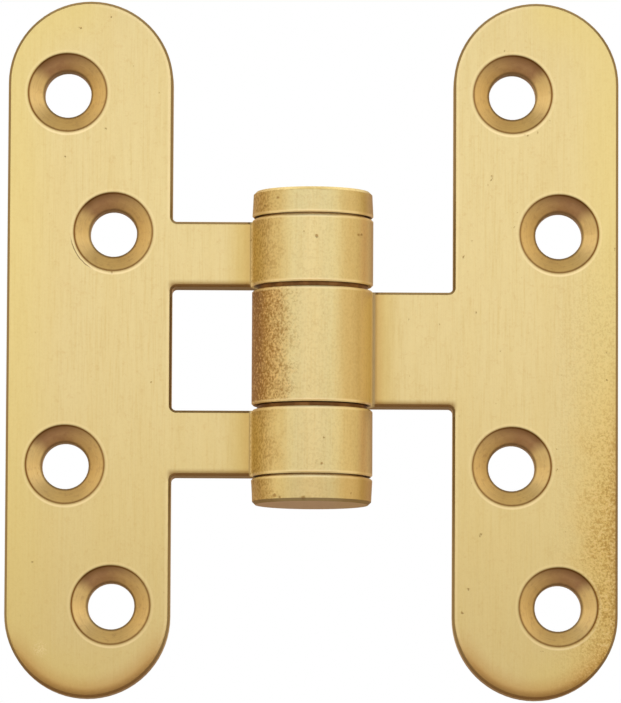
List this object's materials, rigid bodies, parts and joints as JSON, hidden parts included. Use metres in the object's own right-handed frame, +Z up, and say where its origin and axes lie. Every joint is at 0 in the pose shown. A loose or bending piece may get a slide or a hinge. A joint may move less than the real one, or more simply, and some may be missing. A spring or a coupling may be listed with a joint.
{
  "type": "jewelry box hinge",
  "caption": "H-shaped solid brass hinge, opened flat: round-ended leaves with countersunk screw holes, joined by short arms to a capped knuckle barrel on a pin.",
  "frame": {"origin": "on the pin's axis, halfway up the barrel", "axes": "+Z up along the pin, +X from the pin towards the swinging leaf, +Y from the countersunk faces towards the mounting backs"},
  "size_m": [0.0444, 0.0088, 0.0508],
  "materials": {
    "satin_brass": "satin, brushed along the leaves",
    "pin_steel": "ground",
    "dark_bronze": "oiled and darkened"
  },
  "bodies": {
    "fixed_leaf": {"left_leaf": "satin_brass", "hinge_pin": "pin_steel", "top_cap": "satin_brass", "bottom_cap": "satin_brass", "upper_washer": "dark_bronze", "lower_washer": "dark_bronze"},
    "swinging_leaf": {"right_leaf": "satin_brass"}
  },
  "joints": [
    {"name": "leaf_swing", "type": "hinge", "parent": "fixed_leaf", "child": "swinging_leaf", "pos_m": [0, 0, 0], "axis": [0, 0, 1], "range_deg": [-180, 145]}
  ]
}
